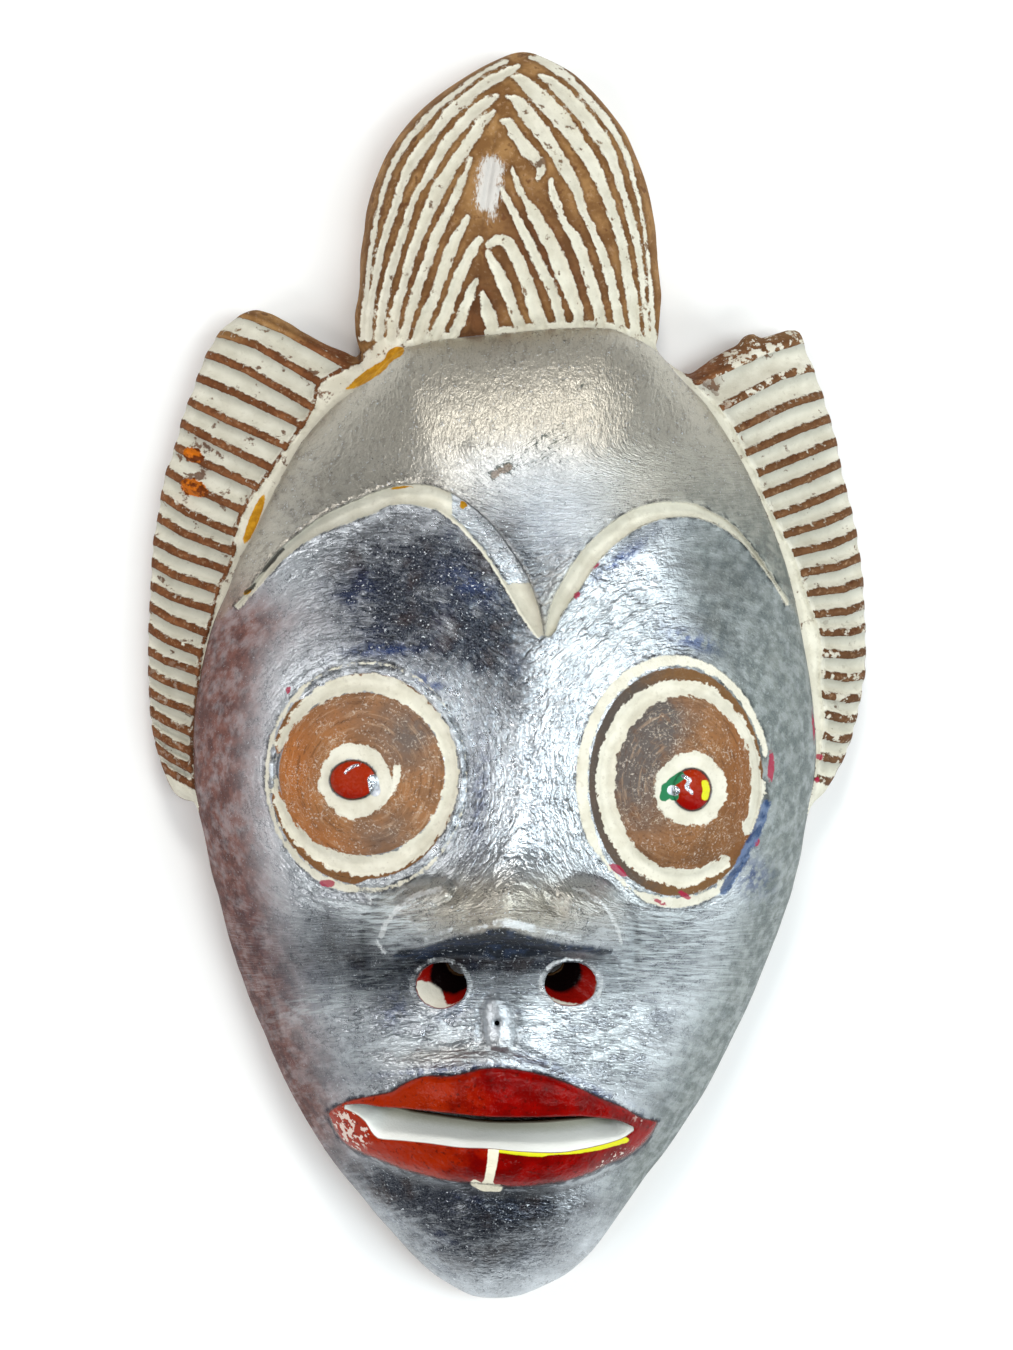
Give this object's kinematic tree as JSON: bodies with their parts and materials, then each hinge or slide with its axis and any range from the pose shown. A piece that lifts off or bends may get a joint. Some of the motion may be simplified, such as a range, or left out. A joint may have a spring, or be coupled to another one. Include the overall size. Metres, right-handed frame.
{
  "type": "carved mask",
  "caption": "Carved wooden face mask with ringed disc eyes, a domed grooved crest, fluted side flanges and a hollow back, lying face up.",
  "frame": {"origin": "on the surface the mask lies on, under the middle of its plan outline", "axes": "+Y towards the top of the mask (the crest), +X towards the right-hand flange as seen from the front, +Z out of the face"},
  "size_m": [0.1968, 0.3404, 0.0855],
  "materials": {
    "painted_wood": "carved wood under worn silver paint, with white filled grooves, brown ridges and red lips"
  },
  "bodies": {
    "root": {"carved_mask": "painted_wood"}
  },
  "joints": []
}
